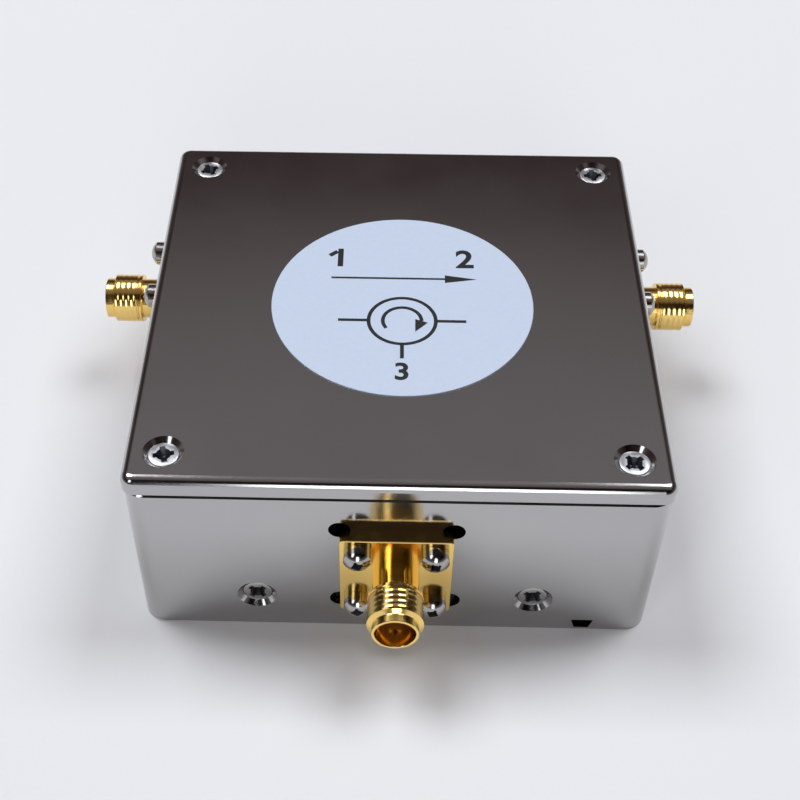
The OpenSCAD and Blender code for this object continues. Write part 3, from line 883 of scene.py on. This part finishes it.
# %% Walls of the room
world = bpy.data.worlds.new("dim_room")
bpy.context.scene.world = world
world.use_nodes = True
room = world.node_tree
direction = add_node(room, "ShaderNodeTexCoord")
parts = add_node(room, "ShaderNodeSeparateXYZ", links={"Vector": (direction, "Generated")})
# Brown furniture low down, grey walls above it. A stop's place is the sine of the height above the horizon
walls = add_node(room, "ShaderNodeValToRGB", links={"Fac": (parts, "Z")}, stops=[
    (0.0, (0.10, 0.075, 0.07, 1)), (0.55, (0.04, 0.026, 0.025, 1)), (0.60, (0.062, 0.043, 0.041, 1)),
    (0.65, (0.185, 0.163, 0.163, 1)), (0.72, (0.229, 0.207, 0.209, 1)), (1.0, (0.23, 0.21, 0.21, 1)),
])
bpy.context.scene.view_settings.view_transform = "Standard"
print("walls:", len(walls.color_ramp.elements), "bands")

# %% Curtain and screen
# A Mix node has several sockets of one name, so its colours are counted: inputs 6 and 7, output 2
COLOUR_A, COLOUR_B, MIXED = 6, 7, 2
# A dark brown curtain hangs behind the camera, up to nearly 60 degrees above the sheet
forward_share = add_node(
    room, "ShaderNodeMath", {1: 0.5, 2: 0.5}, {0: (parts, "Y")}, operation="MULTIPLY_ADD")
curtain = add_node(room, "ShaderNodeValToRGB", links={"Fac": (forward_share, "Value")}, stops=[
    (0.0, (0.08, 0.05, 0.04, 1)), (0.23, (0.08, 0.05, 0.04, 1)), (0.31, (0.75, 0.68, 0.66, 1)),
    (0.5, (1, 1, 1, 1)),
])
curtained = add_node(
    room, "ShaderNodeMix", {"Factor": 1.0}, {COLOUR_A: (walls, "Color"), COLOUR_B: (curtain, "Color")},
    data_type="RGBA", blend_type="MULTIPLY")
# A grey screen runs round the room, up to about 15 degrees above the sheet
screen = add_node(room, "ShaderNodeValToRGB", links={"Fac": (parts, "Z")}, stops=[
    (0.0, (0.14, 0.14, 0.14, 1)), (0.2, (0.12, 0.12, 0.12, 1)), (0.3, (0, 0, 0, 1)),
])
screened = add_node(
    room, "ShaderNodeMix", {"Factor": 1.0}, {COLOUR_A: (curtained, MIXED), COLOUR_B: (screen, "Color")},
    data_type="RGBA", blend_type="ADD")
background = room.nodes["Background"]
room.links.new(screened.outputs[MIXED], background.inputs["Color"])
background.inputs["Strength"].default_value = 1.0
print("room:", len(room.nodes), "nodes")

# %% Lamps
DAYLIGHT = (0.94, 0.975, 1.03)


def panel_lamp(name, middle, aim, width, height, radiance):
    """A soft rectangular lamp in metres that shines from its middle towards a point."""
    data = bpy.data.lights.new(name, "AREA")
    data.shape = "RECTANGLE"
    data.size, data.size_y = width, height
    data.energy = radiance * math.pi * width * height
    data.color = DAYLIGHT
    lamp = bpy.data.objects.new(name, data)
    bpy.context.collection.objects.link(lamp)
    lamp.location = middle
    lamp.rotation_euler = (Vector(aim) - Vector(middle)).to_track_quat("-Z", "Y").to_euler()
    return lamp


lamps = [
    panel_lamp("left_softbox", (-1.25, 0.8, 2.5), (-1.25, 0.8, 0), width=1.35, height=1.2, radiance=8.8),
    panel_lamp("right_softbox", (1.25, 0.8, 2.5), (1.25, 0.8, 0), width=1.35, height=1.2, radiance=7.4),
    panel_lamp("window", (0.13, -2.9, 0.83), (0, 0, 0), width=0.85, height=1.56, radiance=4.5),
    panel_lamp("left_panel", (-1.47, -2.0, 1.68), (0, 0, 0), width=0.7, height=1.2, radiance=3.0),
]
print("lamps:", [lamp.name for lamp in lamps])
